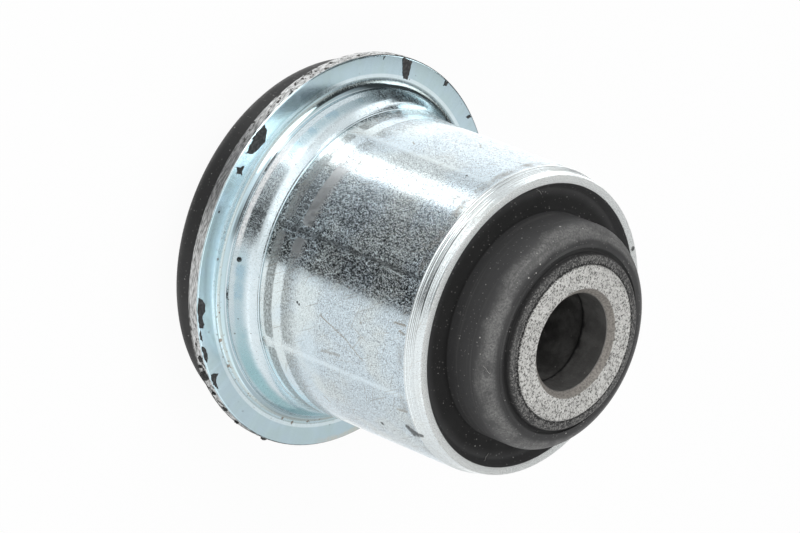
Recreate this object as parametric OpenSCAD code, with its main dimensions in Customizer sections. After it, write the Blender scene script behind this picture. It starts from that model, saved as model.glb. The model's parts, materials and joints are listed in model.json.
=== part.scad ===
// Control arm bushing: black rubber bonded between a flanged press-in sleeve and a thick inner sleeve.
// It stands on its rear end with the common axis along +Z, so the pad is low and the rim faces up.

/* [Inner sleeve] */
// Diameter of the bolt bore at its two end lands
bore_d = 14.2; // [10.2:0.1:20]
// Wall between the bore and the outside of the inner sleeve
inner_wall = 4.3; // [2.5:0.1:8]
// How far the inner sleeve stands past the rim at the front
front_stand = 8.5; // [5:0.1:15]
// How far the inner sleeve stands past the rubber pad at the rear
rear_stand = 1.5; // [0.5:0.1:5]
// Length of each bore land, from the end face to the relief
bore_land = 5.5; // [3:0.1:12]
// Radial depth of the relief between the two lands
relief_depth = 0.4; // [0.2:0.05:1.5]
// Chamfer at each mouth of the bore
bore_chamfer = 0.9; // [0.3:0.1:2]
// Edge break on the outside of each end face
end_break = 0.3; // [0.1:0.05:0.6]

/* [Outer sleeve] */
// Thickness of the drawn sheet, alike in the barrel and in the flange
sheet = 1.8; // [1.2:0.1:3]
// Length of the barrel, from the flange's front face to the rim
barrel_len = 36.9; // [25:0.1:60]
// How far the flange reaches out past the barrel
flange_reach = 6.75; // [5:0.05:12]
// How far the cone spreads from its crease down to the flange
cone_spread = 2.1; // [1:0.1:3]
// Height of the crease above the flange's front face
cone_h = 5.5; // [4:0.1:10]
// How far the crease stands out from the straight barrel
crease_rise = 0.3; // [0.1:0.05:0.8]
// Length of the slight taper from the crease to the straight barrel
taper_len = 4.3; // [2:0.1:8]
// Inside radius of the bend between the cone and the flange
bend_r = 1.6; // [0.8:0.1:2.4]
// Die roll on the flange's front edge
die_roll = 0.3; // [0.1:0.05:0.6]
// Length of the turned lead-in behind the rim
lead_len = 2.85; // [1:0.05:6]
// Radial depth of that lead-in, which leaves the rest of the sheet as the rim's flat face
lead_depth = 0.7; // [0.2:0.05:1]

/* [Rubber pad] */
// Thickness of the rubber between the two sleeves
rubber_wall = 9.3; // [8:0.1:15]
// Thickness of the pad behind the flange
pad_t = 6.3; // [4:0.1:12]
// How far the flange's edge stands past the pad
pad_inset = 1.85; // [0.5:0.05:3]
// Rounding of the pad's rear edge
pad_round = 3; // [1:0.1:3.5]
// Rubber left round the inner sleeve, inside the rear dish
dish_land = 1; // [0.5:0.1:2]
// Width of the dish in the pad's rear face
dish_w = 5; // [3:0.1:8]
// Depth of that dish
dish_depth = 2.2; // [1:0.1:3]

/* [Rubber nose] */
// Width of the recess inside the rim, from the barrel's wall to the nose
recess_w = 4.15; // [2:0.05:5]
// Depth of the recess floor below the rim
recess_depth = 1.1; // [0.5:0.05:3]
// Width of the slope from the rim down to the recess floor
slope_w = 0.9; // [0.3:0.05:1.5]
// Fillet where the nose rises from the recess floor
foot_r = 0.7; // [0.3:0.1:1.2]
// How far the nose stops short of the inner sleeve's end face
nose_drop = 1.2; // [0.6:0.1:3]
// Rounding of the nose's shoulder
shoulder_r = 3; // [1:0.1:3.5]
// Width of the lip round the inner sleeve
lip_w = 1.4; // [0.8:0.1:2]
// How far the lip stops short of the end face
lip_drop = 0.3; // [0.1:0.05:0.5]
// Rounding of the lip's outer edge
lip_round = 0.4; // [0.1:0.05:0.6]
// Radius of the groove at the lip's foot
groove_r = 0.6; // [0.3:0.05:0.8]

/* [Hidden] */
$fn = 128;

// Radii, from the bolt outward
bore_r = bore_d / 2;
relief_r = bore_r + relief_depth;
inner_r = bore_r + inner_wall;
lip_r = inner_r + lip_w;
barrel_ir = inner_r + rubber_wall;
barrel_r = barrel_ir + sheet;
nose_r = barrel_ir - recess_w;
crease_r = barrel_r + crease_rise;
cone_r = crease_r + cone_spread;
flange_r = barrel_r + flange_reach;
pad_r = flange_r - pad_inset;

// Heights, from the rear end upward
pad_z = rear_stand;
flange_back_z = pad_z + pad_t;
flange_front_z = flange_back_z + sheet;
crease_z = flange_front_z + cone_h;
rim_z = flange_front_z + barrel_len;
front_z = rim_z + front_stand;
floor_z = rim_z - recess_depth;
nose_z = front_z - nose_drop;
lip_z = front_z - lip_drop;

// The cone's inside face runs parallel to its outside, one sheet thickness in
cone_slope = cone_spread / cone_h;
cone_a = atan(cone_slope);
cone_gap = sheet / cos(cone_a);
cone_in_r = cone_r - cone_gap + sheet * cone_slope;
cone_in_z = flange_front_z + (cone_r - cone_gap - barrel_ir) / cone_slope;

// Roundings, kept within the rubber that carries them
shoulder = min(shoulder_r, nose_r - lip_r, nose_z - floor_z - foot_r);
dish_arc = (dish_w * dish_w / 4 + dish_depth * dish_depth) / (2 * dish_depth);

function heading(a) = [cos(a), sin(a)];

// The sliver between a corner and the arc that rounds it, with the corner's legs at angles a1 and a2
module corner(p, a1, a2, rad) {
    half = (a2 - a1) / 2;
    leg = rad / tan(half);
    centre = p + rad / sin(half) * heading(a1 + half);
    difference() {
        polygon([p, p + leg * heading(a1), centre, p + leg * heading(a2)]);
        translate(centre) circle(rad);
    }
}

// The round behind the bend, which the sheet leaves and the rubber fills
module bend_back() corner([cone_in_r, flange_back_z], 0, 90 + cone_a, bend_r + sheet);

module outer_sleeve_profile() {
    difference() {
        union() {
            polygon([
                [barrel_ir, rim_z],
                [barrel_ir, cone_in_z],
                [cone_in_r, flange_back_z],
                [flange_r, flange_back_z],
                [flange_r, flange_front_z],
                [cone_r, flange_front_z],
                [crease_r, crease_z],
                [barrel_r, crease_z + taper_len],
                [barrel_r, rim_z - lead_len],
                [barrel_r - lead_depth, rim_z]
            ]);
            corner([cone_r, flange_front_z], 0, 90 + cone_a, bend_r);
        }
        bend_back();
        corner([flange_r, flange_front_z], 180, 270, die_roll);
    }
}

module inner_sleeve_profile() {
    polygon([
        [bore_r + bore_chamfer, 0],
        [inner_r - end_break, 0],
        [inner_r, end_break],
        [inner_r, front_z - end_break],
        [inner_r - end_break, front_z],
        [bore_r + bore_chamfer, front_z],
        [bore_r, front_z - bore_chamfer],
        [bore_r, front_z - bore_land],
        [relief_r, front_z - bore_land],
        [relief_r, bore_land],
        [bore_r, bore_land],
        [bore_r, bore_chamfer]
    ]);
}

// Fill between the sleeves, with the pad at the rear and the nose at the front
module rubber_core() {
    polygon([
        [inner_r, pad_z],
        [pad_r, pad_z],
        [pad_r, flange_back_z],
        [cone_in_r, flange_back_z],
        [barrel_ir, cone_in_z],
        [barrel_ir, rim_z],
        [barrel_ir - slope_w, floor_z],
        [nose_r, floor_z],
        [nose_r, nose_z],
        [inner_r, nose_z]
    ]);
    bend_back();
    corner([nose_r, floor_z], 0, 90, foot_r);
}

module rubber_lip() {
    difference() {
        translate([inner_r, nose_z]) square([lip_w, lip_z - nose_z]);
        corner([lip_r, lip_z], 180, 270, lip_round);
    }
}

module rubber_profile() {
    difference() {
        rubber_core();
        corner([pad_r, pad_z], 90, 180, pad_round);
        corner([nose_r, nose_z], 180, 270, shoulder);
        translate([lip_r + groove_r, nose_z]) circle(groove_r);
        translate([inner_r + dish_land + dish_w / 2, pad_z + dish_depth - dish_arc]) circle(dish_arc);
    }
    rubber_lip();
}

module outer_sleeve() {
    color([0.74, 0.80, 0.83]) rotate_extrude() outer_sleeve_profile();
}

module rubber_body() {
    color([0.13, 0.13, 0.14]) rotate_extrude() rubber_profile();
}

module inner_sleeve() {
    color([0.66, 0.66, 0.64]) rotate_extrude() inner_sleeve_profile();
}

outer_sleeve();
rubber_body();
inner_sleeve();
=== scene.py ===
import json
import math
import bmesh
import bpy
from mathutils import Matrix, Vector


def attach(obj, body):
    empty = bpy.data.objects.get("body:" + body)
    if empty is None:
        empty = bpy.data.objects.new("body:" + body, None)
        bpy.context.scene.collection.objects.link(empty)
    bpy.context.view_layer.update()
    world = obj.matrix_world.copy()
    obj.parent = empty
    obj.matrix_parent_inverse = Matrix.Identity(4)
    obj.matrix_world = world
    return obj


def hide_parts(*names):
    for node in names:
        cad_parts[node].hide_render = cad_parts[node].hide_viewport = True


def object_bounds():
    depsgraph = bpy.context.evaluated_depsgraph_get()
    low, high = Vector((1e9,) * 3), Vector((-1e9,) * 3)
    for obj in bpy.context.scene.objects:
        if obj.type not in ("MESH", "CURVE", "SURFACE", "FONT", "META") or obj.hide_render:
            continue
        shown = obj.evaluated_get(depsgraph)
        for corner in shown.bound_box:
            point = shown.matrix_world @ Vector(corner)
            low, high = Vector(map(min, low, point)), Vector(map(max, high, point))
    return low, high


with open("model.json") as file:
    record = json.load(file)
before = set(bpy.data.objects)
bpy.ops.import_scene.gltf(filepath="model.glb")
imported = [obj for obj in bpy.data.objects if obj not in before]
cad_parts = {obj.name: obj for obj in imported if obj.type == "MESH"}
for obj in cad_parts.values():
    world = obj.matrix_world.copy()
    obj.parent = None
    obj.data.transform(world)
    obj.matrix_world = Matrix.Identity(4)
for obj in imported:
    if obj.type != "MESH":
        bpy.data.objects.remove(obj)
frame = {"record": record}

cadLow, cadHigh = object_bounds()
mm = 0.001
scene = bpy.context.scene
scene.view_settings.view_transform = "Standard"
mounts = {mount["name"]: mount for mount in frame["record"]["mounts"]}


# camera at the photo's viewing angle, the axis runs down to the right and towards it
cameraSet = {
    "place": (-0.887, -603.932, 534.232),
    "right": (-0.37136, 0.60188, 0.70699),
    "down": (0.92849, 0.24073, 0.28277),
    "lens": 250.65,
}


def addCamera(setup):
    data = bpy.data.cameras.new("photoCamera")
    data.lens, data.sensor_width, data.clip_start, data.clip_end = setup["lens"], 36, 0.05, 50
    right, down = Vector(setup["right"]).normalized(), Vector(setup["down"]).normalized()
    back = right.cross(-down).normalized()
    turn = Matrix((right, -down, back)).transposed().to_4x4()
    cam = bpy.data.objects.new("photoCamera", data)
    scene.collection.objects.link(cam)
    cam.matrix_world = Matrix.Translation(Vector(setup["place"]) * mm) @ turn
    scene.camera = cam


addCamera(cameraSet)
print("camera set")


# small mesh helpers, all in millimetres


def nothingPicked():
    if bpy.context.object and bpy.context.object.mode != "OBJECT":
        bpy.ops.object.mode_set(mode="OBJECT")
    bpy.ops.object.select_all(action="DESELECT")


def startRing(name, radius, height, steps):
    nothingPicked()
    bpy.ops.mesh.primitive_circle_add(vertices=steps, radius=radius * mm, fill_type="NOTHING",
                                      location=(0, 0, height * mm))
    piece = bpy.context.object
    piece.name = piece.data.name = name
    bpy.ops.object.transform_apply(location=True, rotation=True, scale=True)
    bpy.ops.object.mode_set(mode="EDIT")
    bpy.ops.mesh.select_mode(type="EDGE")
    bpy.ops.mesh.select_all(action="SELECT")
    return piece


def pullRing(last, point):
    # one more ring: pull the open edge along the axis, then size it round the axis
    bpy.ops.mesh.extrude_edges_move(TRANSFORM_OT_translate={"value": (0, 0, (point[1] - last[1]) * mm)})
    grow = point[0] / last[0]
    bpy.ops.transform.resize(value=(grow, grow, 1), center_override=(0, 0, point[1] * mm))


def lathe(name, outline, steps):
    piece = startRing(name, outline[0][0], outline[0][1], steps)
    for last, point in zip(outline, outline[1:] + outline[:1]):
        pullRing(last, point)
    bpy.ops.mesh.select_all(action="SELECT")
    bpy.ops.mesh.remove_doubles(threshold=0.0005 * mm)
    bpy.ops.mesh.normals_make_consistent(inside=False)
    bpy.ops.mesh.select_all(action="DESELECT")
    return piece


def pickRings(piece, test):
    # edges whose two ends pass the test on radius and height
    bm = bmesh.from_edit_mesh(piece.data)
    for vert in bm.verts:
        vert.select = bool(test(vert.co.xy.length / mm, vert.co.z / mm))
    for edge in bm.edges:
        edge.select = edge.verts[0].select and edge.verts[1].select
    bm.select_flush(True)
    bmesh.update_edit_mesh(piece.data)


def roundRing(piece, radius, height, leg, cuts, profile=0.5):
    bpy.ops.mesh.select_mode(type="EDGE")
    pickRings(piece, lambda r, z: abs(r - radius) < 0.02 and abs(z - height) < 0.02)
    bpy.ops.mesh.bevel(offset_type="OFFSET", offset=leg * mm, segments=cuts, profile=profile,
                       affect="EDGES", clamp_overlap=False)
    bpy.ops.mesh.select_all(action="DESELECT")


def roughen(piece, test, amount, seed):
    bpy.ops.mesh.select_mode(type="VERT")
    pickRings(piece, test)
    bpy.ops.transform.vertex_random(offset=amount * mm, uniform=0, normal=1, seed=seed)
    bpy.ops.mesh.select_all(action="DESELECT")


def finishPiece(piece, node, angle=28):
    bpy.ops.object.mode_set(mode="OBJECT")
    bpy.ops.object.shade_smooth_by_angle(angle=math.radians(angle))
    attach(piece, "root")
    if node:
        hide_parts(node)


# drawn outer sleeve: flange, tight bend, stepped flare up to a grooved crease, taper, barrel, turned lead-in
sleeveSet = {
    "steps": 720, "barrelRings": (35, 27),
    "barrel": mounts["press_barrel"]["dims"]["r_mm"],
    "inside": 20.7,
    "rim": 46.5, "rimOut": 21.8, "leadIn": 43.65, "taperEnd": 19.4, "crease": 15.1,
    "bendMid": (26.0, 11.2), "bend": 1.6, "bendCuts": 12, "bendEnd": 28,
    "flangeFront": mounts["flange_seat"]["pos_m"][2] / mm, "flangeBack": 7.8, "flangeOut": 29.25,
    "backFoot": 23.66, "backTop": 15.55,
    # how the wall leans from the bend up to the crease: height and degrees
    "lean": [(10.52, 14), (10.84, 13), (10.96, 31), (12.4, 31), (13.5, 19), (14.5, 10), (14.7, 8)],
    # turning lines on the lead-in: height and depth
    "turned": [(45.6, 0.012), (45.15, 0.03), (44.92, 0.02), (44.62, 0.045), (44.38, 0.025), (44.08, 0.045)],
    "backLeg": 2.341, "dieRoll": 0.3, "leadRound": 0.25, "rimRound": 0.12, "insideRound": 0.08, "taperRound": 0.8,
    "shearRings": 6, "shearRough": 0.05, "shearBorder": 0.2, "shearSeed": 4,
    "creaseGroove": [(0.04, -0.26), (0.03, -0.12), (0.04, 0.0), (0.08, 0.1), (0.06, 0.22)],  # inward, height
    "aboveCrease": 0.36,
}


def flareRings(s):
    # round the bend, then up the wall by its lean, with the crease grooves at the top
    (midRadius, midHeight), r = s["bendMid"], s["bend"]
    points = []
    for i in range(s["bendCuts"] + 1):
        t = math.radians(90 + (s["bendEnd"] - 90) * i / s["bendCuts"])
        points.append((midRadius - r * math.cos(t), midHeight - r * math.sin(t)))
    radius, height = points[-1]
    steps = [(height, s["bendEnd"])] + s["lean"]
    for (low, leanLow), (high, leanHigh) in zip(steps, steps[1:]):
        cuts = 5 if abs(leanHigh - leanLow) > 5 else 2
        for i in range(cuts):
            t = math.radians(leanLow + (leanHigh - leanLow) * (i + 0.5) / cuts)
            radius -= math.tan(t) * (high - low) / cuts
            points.append((radius, low + (high - low) * (i + 1) / cuts))
    for inward, height in s["creaseGroove"]:
        points.append((radius - inward, s["crease"] + height))
    last, above = points[-1], s["crease"] + s["aboveCrease"]  # a ring just above it, so the taper shades true
    share = (above - last[1]) / (s["taperEnd"] - last[1])
    points.append((last[0] + (s["barrel"] - last[0]) * share, above))
    return points


def turningLines(s):
    # fine grooves that the tool left on the lead-in
    points = []
    fall = (s["barrel"] - s["rimOut"]) / (s["rim"] - s["leadIn"])
    for height, deep in s["turned"]:
        for away, share in ((0.09, 0), (0.02, 1), (-0.06, 0.8), (-0.1, 0)):
            z = height + away
            points.append((s["rimOut"] + (s["rim"] - z) * fall - deep * share, z))
    return points


def makeSleeve(s):
    shear = [(s["flangeOut"], s["flangeFront"] + (s["flangeBack"] - s["flangeFront"]) * i / s["shearRings"])
             for i in range(s["shearRings"] + 1)]
    outline = [
        *[(s["barrel"], height) for height in s["barrelRings"]], (s["barrel"], s["taperEnd"]),
        *reversed(flareRings(s)), *shear,
        (s["backFoot"], s["flangeBack"]), (s["inside"], s["backTop"]),
        (s["inside"], s["rim"]), (s["rimOut"], s["rim"]), *turningLines(s), (s["barrel"], s["leadIn"]),
    ]
    piece = lathe("outer_sleeve_shell", outline, s["steps"])
    for radius, height, leg, cuts in (
            (s["flangeOut"], s["flangeFront"], s["dieRoll"], 4), (s["backFoot"], s["flangeBack"], s["backLeg"], 8),
            (s["barrel"], s["leadIn"], s["leadRound"], 3), (s["rimOut"], s["rim"], s["rimRound"], 3),
            (s["inside"], s["rim"], s["insideRound"], 2), (s["barrel"], s["taperEnd"], s["taperRound"], 4)):
        roundRing(piece, radius, height, leg, cuts)
    low, high = s["flangeBack"] + s["shearBorder"], s["flangeFront"] - s["shearBorder"]
    roughen(piece, lambda r, z: r > s["flangeOut"] - 0.01 and low < z < high, s["shearRough"], s["shearSeed"])
    finishPiece(piece, "outer_sleeve")
    return piece


# rubber moulded between the sleeves: pad, filling, recess behind the rim, nose and lip
rubberSet = {
    "steps": 480, "midRing": 30,
    "inside": 11.4, "pad": 27.4, "padBack": 1.5, "padRound": 3.0,
    "dishIn": 12.4, "dishOut": 17.4, "dishDepth": 2.2,
    "recessFloor": 45.4, "slopeFoot": 19.8, "nose": 16.55, "noseTop": 53.8, "foot": 0.7, "shoulder": 3.0,
    "lipOut": 12.8, "lipTop": 54.7, "lipRound": 0.4, "groove": 0.6, "underRim": 0.06,
    "slopeRound": 0.25, "dishInRound": 0.3, "dishOutRound": 0.5,
}


def makeRubber(s, v):
    dishMid, dishHalf = (s["dishIn"] + s["dishOut"]) / 2, (s["dishOut"] - s["dishIn"]) / 2
    dishArc = (dishHalf ** 2 + s["dishDepth"] ** 2) / (2 * s["dishDepth"])
    dishEnd = math.asin(dishHalf / dishArc)
    dish = [(dishMid + dishArc * math.sin(t), s["padBack"] + s["dishDepth"] - dishArc + dishArc * math.cos(t))
            for t in [dishEnd * (i / 6 - 1) for i in range(13)]]
    grooveMid = s["lipOut"] + s["groove"]
    groove = [(grooveMid + s["groove"] * math.cos(t), s["noseTop"] - s["groove"] * math.sin(t))
              for t in [math.pi * i / 8 for i in range(9)]]
    outline = [
        (s["inside"], s["padBack"]), *dish, (s["pad"], s["padBack"]), (s["pad"], v["flangeBack"]),
        (v["backFoot"], v["flangeBack"]), (v["inside"], v["backTop"]), (v["inside"], s["midRing"]),
        (v["inside"], v["rim"] - s["underRim"]),
        (s["slopeFoot"], s["recessFloor"]), (s["nose"], s["recessFloor"]), (s["nose"], s["noseTop"]),
        *groove, (s["lipOut"], s["lipTop"]), (s["inside"], s["lipTop"]), (s["inside"], s["midRing"]),
    ]
    piece = lathe("rubber_body_moulding", outline, s["steps"])
    for radius, height, leg, cuts in (
            (s["pad"], s["padBack"], s["padRound"], 10), (v["backFoot"], v["flangeBack"], v["backLeg"], 8),
            (s["nose"], s["noseTop"], s["shoulder"], 12), (s["nose"], s["recessFloor"], s["foot"], 5),
            (s["slopeFoot"], s["recessFloor"], s["slopeRound"], 3), (s["lipOut"], s["lipTop"], s["lipRound"], 4),
            (s["dishIn"], s["padBack"], s["dishInRound"], 3), (s["dishOut"], s["padBack"], s["dishOutRound"], 3)):
        roundRing(piece, radius, height, leg, cuts)
    finishPiece(piece, "rubber_body", 40)
    return piece


# thick inner sleeve with chamfered mouths and a relief between two bore lands
boltSet = {
    "steps": 360, "midRing": 27.5,
    "bore": mounts["bolt_bore"]["dims"]["r_mm"], "relief": 7.5, "outside": 11.4,
    "front": mounts["front_clamp_face"]["pos_m"][2] / mm, "rear": mounts["rear_clamp_face"]["pos_m"][2] / mm,
    "land": 5.5, "mouth": 0.9, "edge": 0.3, "mouthRound": 0.12, "edgeRound": 0.1,
}


def makeBoltSleeve(s):
    outline = [
        (s["relief"], s["midRing"]), (s["relief"], s["rear"] + s["land"]), (s["bore"], s["rear"] + s["land"]),
        (s["bore"], s["rear"] + s["mouth"]), (s["bore"] + s["mouth"], s["rear"]), (s["outside"] - s["edge"], s["rear"]),
        (s["outside"], s["rear"] + s["edge"]), (s["outside"], s["front"] - s["edge"]),
        (s["outside"] - s["edge"], s["front"]), (s["bore"] + s["mouth"], s["front"]),
        (s["bore"], s["front"] - s["mouth"]), (s["bore"], s["front"] - s["land"]),
        (s["relief"], s["front"] - s["land"]),
    ]
    piece = lathe("inner_sleeve_tube", outline, s["steps"])
    for height in (s["front"], s["rear"]):
        roundRing(piece, s["bore"] + s["mouth"], height, s["mouthRound"], 3)
        roundRing(piece, s["outside"] - s["edge"], height, s["edgeRound"], 2)
    finishPiece(piece, "inner_sleeve", 25)
    return piece


sleeve = makeSleeve(sleeveSet)
rubber = makeRubber(rubberSet, sleeveSet)
boltSleeve = makeBoltSleeve(boltSet)
print("pieces turned:", [(p.name, len(p.data.polygons)) for p in (sleeve, rubber, boltSleeve)])


# films of rubber flash left on the flange, torn at their edges (angle and radius of each corner)
flashSet = {
    "low": 9.52, "high": 9.67, "tear": 0.06, "crumbOut": 29.22, "crumbSpan": 29.3, "crumbTear": 0.09,
    "films": [
        [(-171.6, 29.0), (-172.4, 29.14), (-173.6, 29.0), (-176, 28.9), (-175.9, 28.3), (-176.4, 27.2),
         (-176.6, 26.2), (-174.8, 26.2), (-173.5, 27.0), (-172.5, 28.0)],
        [(167.1, 28.2), (167.3, 29.0), (166, 29.14), (165.9, 28.5)],
        [(151, 28.2), (150.7, 28.9), (149.7, 28.9), (149.9, 28.4)],
        [(-163.7, 28.5), (-163.8, 29.1), (-164.3, 29.0), (-164, 28.7)],
        [(-115, 29.0), (-114.7, 28.0), (-112.3, 26.8), (-108.3, 27.1), (-106.3, 27.6), (-105.1, 29.0), (-105.9, 28.5),
         (-107.5, 28.8), (-109.7, 28.9), (-109.5, 29.14), (-112.6, 29.12)],
        [(-100.6, 29.0), (-101.1, 28.1), (-102.4, 27.6), (-100.7, 27.5), (-99.6, 27.0), (-99.5, 27.6), (-99.1, 28.2),
         (-100.1, 28.4)],
        [(-61.8, 29.0), (-60.7, 28.2), (-58.8, 27.7), (-57.1, 27.8), (-55.8, 28.4), (-53, 28.1), (-52, 28.4),
         (-52.7, 29.0), (-55, 29.1), (-57.8, 29.14)],
        [(-51.7, 28.9), (-50.3, 28.8), (-48.2, 28.8), (-48.8, 29.1), (-50.5, 29.1)],
        [(-46.8, 29.1), (-45.9, 28.6), (-44.5, 28.5), (-43.3, 28.4), (-41.9, 28.6), (-40.8, 28.9), (-42.2, 29.14),
         (-44.6, 29.12)],
        [(-36.4, 28.9), (-36.2, 28.5), (-34.8, 27.7), (-34.4, 28.2), (-33.2, 28.6), (-30.6, 28.8), (-32.5, 29.1),
         (-34.7, 29.14)],
    ],
    # crumbs that stand out of the sheared edge: first and last angle, height, thickness
    "crumbs": [(-43.3, -41.2, 8.9, 0.36), (-39.8, -38.6, 8.3, 0.3), (-37.4, -34.3, 8.6, 0.62),
               (-29.8, -28.6, 8.8, 0.36), (-22.9, -21.2, 9.0, 0.36), (-15.2, -14.1, 8.8, 0.36),
               (-2.6, -0.6, 8.9, 0.36)],
}


def around(angle, radius, height):
    a = math.radians(angle)
    return Vector((radius * math.cos(a), radius * math.sin(a), height)) * mm


def moveVert(piece, index, target):
    bm = bmesh.from_edit_mesh(piece.data)
    bm.verts.ensure_lookup_table()
    for vert in bm.verts:
        vert.select = vert.index == index
    bm.select_flush(False)
    way = target - bm.verts[index].co
    bmesh.update_edit_mesh(piece.data)
    bpy.ops.transform.translate(value=way)


def makeFilm(s, corners, number):
    nothingPicked()
    bpy.ops.mesh.primitive_circle_add(vertices=len(corners), radius=mm, fill_type="NGON")
    film = bpy.context.object
    bpy.ops.object.mode_set(mode="EDIT")
    bpy.ops.mesh.select_mode(type="VERT")
    for index, (angle, radius) in enumerate(corners):
        moveVert(film, index, around(angle, radius, s["low"]))
    bpy.ops.mesh.select_all(action="SELECT")
    bpy.ops.mesh.subdivide(number_cuts=3)
    bpy.ops.mesh.select_all(action="SELECT")
    bpy.ops.transform.vertex_random(offset=s["tear"] * mm, uniform=1, normal=0, seed=number + 3)
    bpy.ops.transform.resize(value=(1, 1, 0), center_override=(0, 0, s["low"] * mm))
    bpy.ops.mesh.extrude_region_move(TRANSFORM_OT_translate={"value": (0, 0, (s["high"] - s["low"]) * mm)})
    bpy.ops.mesh.select_all(action="SELECT")
    bpy.ops.mesh.normals_make_consistent(inside=False)
    bpy.ops.object.mode_set(mode="OBJECT")
    return film


def makeCrumb(s, first, last, height, thick, number):
    nothingPicked()
    bpy.ops.mesh.primitive_ico_sphere_add(subdivisions=3, radius=thick * mm)
    crumb = bpy.context.object
    bpy.ops.object.mode_set(mode="EDIT")
    bpy.ops.mesh.select_all(action="SELECT")
    bpy.ops.transform.resize(value=(0.9, math.radians(last - first) * s["crumbSpan"] / (2 * thick), 1.2))
    bpy.ops.transform.vertex_random(offset=s["crumbTear"] * mm, uniform=0.3, normal=0.5, seed=number)
    middle = (first + last) / 2
    bpy.ops.transform.rotate(value=-math.radians(middle), orient_axis="Z", center_override=(0, 0, 0))
    bpy.ops.transform.translate(value=around(middle, s["crumbOut"], height))
    bpy.ops.mesh.normals_make_consistent(inside=False)
    bpy.ops.object.mode_set(mode="OBJECT")
    return crumb


def joinParts(parts, name):
    nothingPicked()
    for part in parts:
        part.select_set(True)
    bpy.context.view_layer.objects.active = parts[0]
    bpy.ops.object.join()
    joined = bpy.context.object
    joined.name = joined.data.name = name
    bpy.ops.object.transform_apply(location=True, rotation=True, scale=True)
    return joined


def makeFlash(s):
    parts = [makeFilm(s, corners, i) for i, corners in enumerate(s["films"])]
    parts += [makeCrumb(s, *crumb, i) for i, crumb in enumerate(s["crumbs"])]
    flash = joinParts(parts, "rubber_flash")
    finishPiece(flash, None, 40)
    return flash


# lint caught on the rubber (angle, radius, height along each fibre)
lintSet = {
    "thick": 0.035,
    "fibres": [
        [(-152.8, 20.0, 45.55), (-154.0, 19.75, 45.7), (-155.2, 19.5, 45.62), (-156.7, 19.0, 45.48)],
        [(6.2, 20.4, 45.6), (7.0, 20.0, 45.72), (7.2, 19.6, 45.6), (8.6, 19.0, 45.5)],
        [(-62.0, 16.0, 52.6), (-60.6, 15.7, 52.9), (-59.4, 15.6, 53.0), (-57.6, 15.3, 53.25)],
    ],
}


def makeLint(s):
    parts = []
    for path in s["fibres"]:
        points = [around(*point) for point in path]
        nothingPicked()
        bpy.ops.mesh.primitive_circle_add(vertices=6, radius=s["thick"] * mm, fill_type="NGON", location=points[0],
                                          rotation=(points[1] - points[0]).to_track_quat("Z", "Y").to_euler())
        bpy.ops.object.transform_apply(location=True, rotation=True, scale=True)
        bpy.ops.object.mode_set(mode="EDIT")
        bpy.ops.mesh.select_all(action="SELECT")
        for last, point in zip(points, points[1:]):
            bpy.ops.mesh.extrude_region_move(TRANSFORM_OT_translate={"value": point - last})
        bpy.ops.mesh.select_all(action="SELECT")
        bpy.ops.mesh.normals_make_consistent(inside=False)
        bpy.ops.object.mode_set(mode="OBJECT")
        parts.append(bpy.context.object)
    lint = joinParts(parts, "lint_fibres")
    finishPiece(lint, None, 60)
    return lint


flash, lint = makeFlash(flashSet), makeLint(lintSet)
print("flash and lint placed")


# shader node helpers


def plug(tree, node, sockets):
    for key, value in sockets.items():
        if isinstance(value, bpy.types.NodeSocket):
            tree.links.new(value, node.inputs[key])
        else:
            node.inputs[key].default_value = value
    return node


def add(tree, kind, sockets=None, **settings):
    node = tree.nodes.new(kind)
    for key, value in settings.items():
        setattr(node, key, value)
    return plug(tree, node, sockets or {})


def sums(tree, operation, a, b=0.0, c=0.0, clamp=False):
    return add(tree, "ShaderNodeMath", {0: a, 1: b, 2: c}, operation=operation, use_clamp=clamp).outputs[0]


def chain(tree, operation, first, others):
    for other in others:
        first = sums(tree, operation, first, other)
    return first


def product(tree, first, *others):
    return chain(tree, "MULTIPLY", first, others)


def total(tree, first, *others):
    return chain(tree, "ADD", first, others)


def largest(tree, first, *others):
    return chain(tree, "MAXIMUM", first, others)


def minus(tree, a, b):
    return sums(tree, "SUBTRACT", a, b)


def divided(tree, a, b, clamp=False):
    return sums(tree, "DIVIDE", a, b, clamp=clamp)


def vectors(tree, operation, a, b):
    return add(tree, "ShaderNodeVectorMath", {0: a, 1: b}, operation=operation)


def blend(tree, factor, a, b):
    return add(tree, "ShaderNodeMix", {0: factor, 6: a, 7: b}, data_type="RGBA").outputs[2]


def layers(tree, colour, *pairs):
    for mask, over in pairs:
        colour = blend(tree, mask, colour, over)
    return colour


def ramp(tree, value, low, high, toLow=0.0, toHigh=1.0):
    node = add(tree, "ShaderNodeMapRange", {0: value, 1: low, 2: high, 3: toLow, 4: toHigh},
               interpolation_type="SMOOTHSTEP")
    return node.outputs[0]


def within(tree, value, start, full, past, gone):
    return product(tree, ramp(tree, value, start, full), ramp(tree, value, gone, past))


def fadeTo(tree, mask, value):
    # 1 outside the mask, the value inside it
    return ramp(tree, mask, 0.0, 1.0, 1.0, value)


def newGroup(name, directions, numbers):
    # a shared effect that gives one mask
    tree = bpy.data.node_groups.new(name, "ShaderNodeTree")
    for label in directions:
        tree.interface.new_socket(name=label, in_out="INPUT", socket_type="NodeSocketVector")
    for label, value in numbers.items():
        socket = tree.interface.new_socket(name=label, in_out="INPUT", socket_type="NodeSocketFloat")
        socket.default_value = value
    tree.interface.new_socket(name="Mask", in_out="OUTPUT", socket_type="NodeSocketFloat")
    start, end = tree.nodes.new("NodeGroupInput"), tree.nodes.new("NodeGroupOutput")
    return tree, start.outputs, end.inputs["Mask"]


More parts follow.
